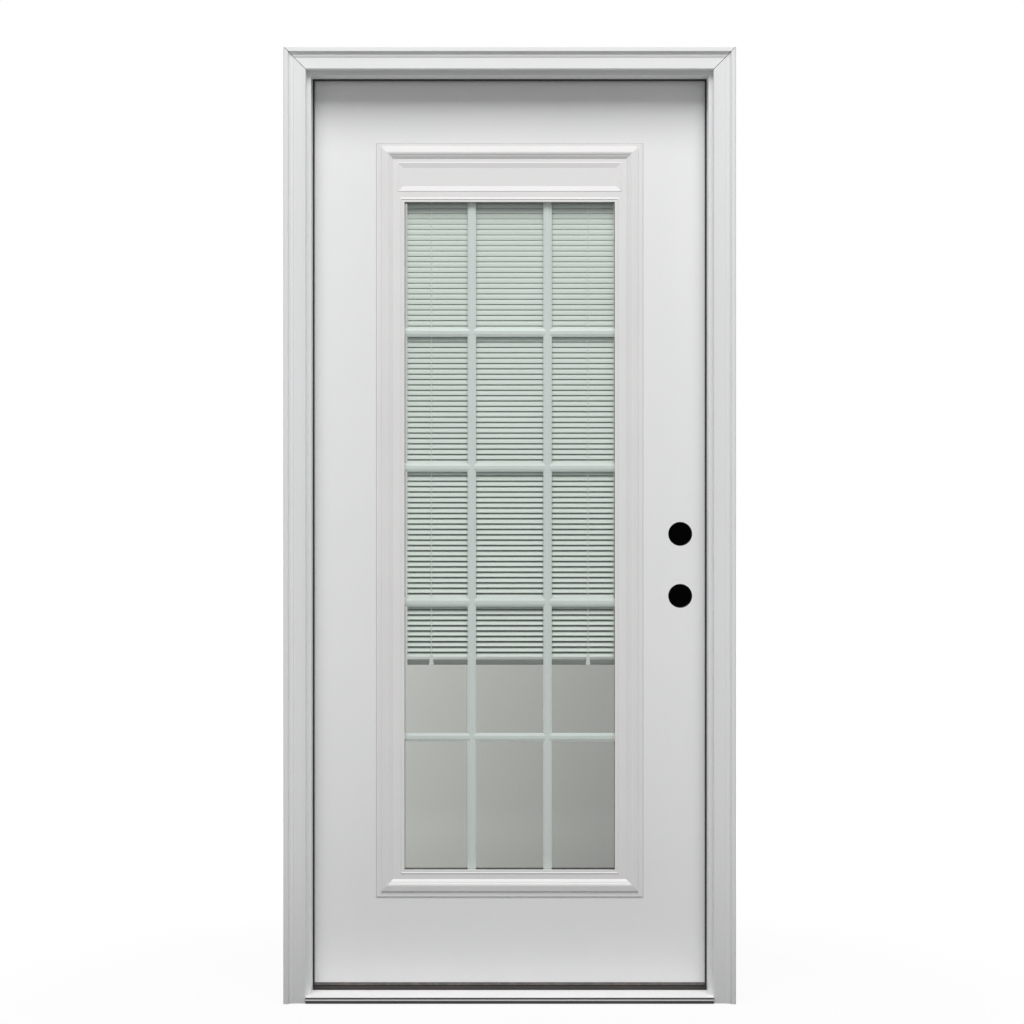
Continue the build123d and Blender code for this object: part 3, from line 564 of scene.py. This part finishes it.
# The bore covers' own black is deepened to near-black with little gloss: painted shade of the open
# bores
assign(
    moulded_plastic(
        "cover_black", dark=grey(0.001), light=grey(0.002), smooth=0.7, rough=0.85, specular=0.1
    ),
    "latch_bore_cover", "deadbolt_bore_cover",
)
assign(rigid_foam("rigid_foam", dark=(0.78, 0.68, 0.42), light=(0.86, 0.78, 0.55)), "foam_core")
assign(
    brushed_metal(
        "spacer_grey", dark=grey(0.50), light=grey(0.60), along="Z", smooth=0.4, rough=0.5, metallic=0.6
    ),
    "glass_spacer",
)
assign(
    clear_pane("pane_outer", outer_face_clear, outer_face_clear, tint=(0.99, 1.0, 0.985)),
    "glass_exterior",
)
assign(
    clear_pane("pane_inner", inner_face_painted_shade_low, inner_face_painted_shade_high, tint=(0.995, 1.0, 0.985)),
    "glass_interior",
)
hinge_steel = brushed_metal(
    "hinge_steel", dark=grey(0.50), light=grey(0.66), along="Z", smooth=0.24, rough=0.36
)
strike_steel = brushed_metal(
    "strike_steel", dark=grey(0.50), light=grey(0.66), along="Z", smooth=0.24, rough=0.36
)
assign(hinge_steel, *[name for name in cad if "_hinge_" in name])
assign(strike_steel, "latch_strike", "deadbolt_strike")


def screw_head(mesh, place, outward, turn):
    """Adds one cross-recessed screw head that faces outward, turned about its axis."""
    steps = (
        (0.0, 1.0),
        (screw_head_rise, screw_shoulder_share),
        (screw_head_rise + screw_head_dome * screw_crown_rise_share, screw_crown_share),
    )
    facing = Vector(outward).to_track_quat("Z", "Y").to_matrix().to_4x4()
    matrix = Matrix.Translation(place) @ facing @ Matrix.Rotation(turn, 4, "Z")
    loops = []
    for rise, share in steps:
        loop = []
        for step in range(screw_sides):
            angle = 2 * pi * step / screw_sides
            radius = share * screw_head_radius
            point = Vector((radius * cos(angle), radius * sin(angle), rise))
            loop.append(mesh.verts.new(matrix @ point))
        loops.append(loop)
    for low, high in zip(loops, loops[1:]):
        for step in range(screw_sides):
            after = (step + 1) % screw_sides
            mesh.faces.new((low[step], low[after], high[after], high[step]))
    mesh.faces.new(list(reversed(loops[0])))
    top = screw_head_rise + screw_head_dome
    arm, half = recess_arm, recess_half_width
    outline = [
        (arm, -half), (arm, half), (half, half), (half, arm), (-half, arm), (-half, half),
        (-arm, half), (-arm, -half), (-half, -half), (-half, -arm), (half, -arm), (half, -half),
    ]
    rim = [mesh.verts.new(matrix @ Vector((x, y, top))) for x, y in outline]
    taper = recess_floor_share
    floor = [
        mesh.verts.new(matrix @ Vector((x * taper, y * taper, top - recess_depth))) for x, y in outline
    ]
    for step in range(len(outline)):
        after = (step + 1) % len(outline)
        mesh.faces.new((rim[after], rim[step], floor[step], floor[after]))
    mesh.faces.new(floor)
    edges = [mesh.edges.get((rim[i], rim[(i + 1) % len(rim)])) for i in range(len(rim))]
    last = loops[-1]
    edges += [mesh.edges.get((last[i], last[(i + 1) % screw_sides])) for i in range(screw_sides)]
    bmesh.ops.triangle_fill(mesh, edges=edges, use_beauty=True)


def screws(name, places, outward, body, material):
    """One piece of several screw heads, all facing one way."""
    mesh = bmesh.new()
    for index, place in enumerate(places):
        screw_head(mesh, Vector(place), outward, radians(screw_turn_step * index % recess_symmetry))
    bmesh.ops.recalc_face_normals(mesh, faces=mesh.faces)
    data = bpy.data.meshes.new(name)
    mesh.to_mesh(data)
    mesh.free()
    data.materials.append(material)
    piece = bpy.data.objects.new(name, data)
    bpy.context.scene.collection.objects.link(piece)
    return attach(piece, body)


for label in ("bottom", "middle", "top"):
    for body, facing in (("frame", 1), ("door", -1)):
        low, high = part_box(f"{label}_hinge_{body}_leaf")
        middle = (low.z + high.z) / 2
        plate_x = (low.x + high.x) / 2 - facing * leaf_face_offset
        places = [
            (plate_x, low.y + leaf_screw_columns[index % 2], middle + row)
            for index, row in enumerate(leaf_screw_rows)
        ]
        screws(f"{label}_{body}_leaf_screws", places, (facing, 0, 0), body, hinge_steel)

for label in ("latch", "deadbolt"):
    low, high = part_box(f"{label}_strike")
    middle = (low + high) / 2
    places = [(low.x, middle.y, middle.z + rise) for rise in (-strike_screw_rise, strike_screw_rise)]
    screws(f"{label}_strike_screws", places, (-1, 0, 0), "frame", strike_steel)


def seen_rays(tree):
    """1 for camera, glossy and transmitted rays, and 0 for the light that falls on things."""
    path = tree.nodes.new("ShaderNodeLightPath")
    seen = combine(tree, "MAXIMUM", path.outputs["Is Camera Ray"], path.outputs["Is Glossy Ray"])
    return combine(tree, "MAXIMUM", seen, path.outputs["Is Transmission Ray"])


def floor_material():
    """Pale floor that reads white where the light reaches it, and keeps shadows."""
    material = bpy.data.materials.new("studio_floor")
    tree, output = nodes_of(material)
    mottle = noise(tree, coordinates(tree), scale=4.0, detail=3.0)
    dark, light = map(grey, mottle_greys)
    mottle = ramp(tree, mottle, start=0.3, low=dark, end=0.7, high=light)
    reach = tree.nodes.new("ShaderNodeVectorMath")
    reach.operation = "LENGTH"
    tree.links.new(coordinates(tree), reach.inputs[0])
    away = spread(
        tree, reach.outputs["Value"], low=0.0, high=1.0, start=floor_near_reach, end=floor_far_reach
    )
    surface = tree.nodes.new("ShaderNodeBsdfDiffuse")
    tone = mix_colour(tree, away, grey(floor_grey_near), grey(floor_grey_far))
    tone = mix_colour(tree, floor_mottle_share, tone, mottle, "MULTIPLY")
    tree.links.new(tone, surface.inputs["Color"])
    glow = tree.nodes.new("ShaderNodeEmission")
    glow.inputs["Color"].default_value = white
    level = spread(tree, away, low=floor_glow_near, high=floor_glow_far, start=0.0, end=1.0)
    tree.links.new(combine(tree, "MULTIPLY", seen_rays(tree), level), glow.inputs["Strength"])
    both = tree.nodes.new("ShaderNodeAddShader")
    tree.links.new(surface.outputs["BSDF"], both.inputs[0])
    tree.links.new(glow.outputs["Emission"], both.inputs[1])
    tree.links.new(both.outputs["Shader"], output.inputs["Surface"])
    return material


floor_mesh = bpy.data.meshes.new("floor")
floor_mesh.from_pydata(
    [(x * floor_half, y * floor_half, -floor_drop) for x, y in ((-1, -1), (1, -1), (1, 1), (-1, 1))],
    [],
    [(0, 1, 2, 3)],
)
floor_mesh.materials.append(floor_material())
floor = bpy.data.objects.new("floor", floor_mesh)
bpy.context.scene.collection.objects.link(floor)


def background(tree, strength):
    """White light from all round at a strength."""
    node = tree.nodes.new("ShaderNodeBackground")
    node.inputs["Color"].default_value = white
    node.inputs["Strength"].default_value = strength
    return node.outputs["Background"]


world = bpy.data.worlds.new("studio")
bpy.context.scene.world = world
world.use_nodes = True
world_tree = world.node_tree
world_tree.nodes.clear()
choice = world_tree.nodes.new("ShaderNodeMixShader")
sky = world_tree.nodes.new("ShaderNodeOutputWorld")
world_tree.links.new(seen_rays(world_tree), choice.inputs["Fac"])
world_tree.links.new(background(world_tree, ambient_level), choice.inputs[1])
world_tree.links.new(background(world_tree, 1.0), choice.inputs[2])
world_tree.links.new(choice.outputs["Shader"], sky.inputs["Surface"])


def area_light(name, place, aim, width, depth, watts, seen=True):
    """Soft rectangular lamp turned to aim at a point; it may be kept out of sight and gloss."""
    data = bpy.data.lights.new(name, "AREA")
    data.shape = "RECTANGLE"
    data.size, data.size_y = width, depth
    data.energy = watts
    lamp = bpy.data.objects.new(name, data)
    lamp.location = place
    lamp.rotation_euler = (Vector(aim) - Vector(place)).to_track_quat("-Z", "Y").to_euler()
    lamp.visible_camera = lamp.visible_glossy = lamp.visible_transmission = seen
    bpy.context.scene.collection.objects.link(lamp)


key_place = (0, -key_distance, key_height)
back_place = (0, back_distance, back_height)
area_light("key", key_place, lamp_aim, lamp_width, lamp_depth, key_watts)
area_light("back", back_place, lamp_aim, lamp_width, lamp_depth, back_watts, seen=False)
area_light(
    "bounce", bounce_place, bounce_aim, bounce_width, bounce_depth, bounce_watts, seen=False
)

camera_data = bpy.data.cameras.new("camera")
camera_data.sensor_width = camera_sensor
camera_data.lens = camera_lens
camera_data.shift_x = camera_shift_x
camera_data.shift_y = camera_shift_y
camera = bpy.data.objects.new("camera", camera_data)
camera.location = (0, -camera_distance, camera_height)
camera.rotation_euler = (radians(90), 0, 0)
bpy.context.scene.collection.objects.link(camera)
bpy.context.scene.camera = camera
bpy.context.scene.view_settings.view_transform = "Standard"
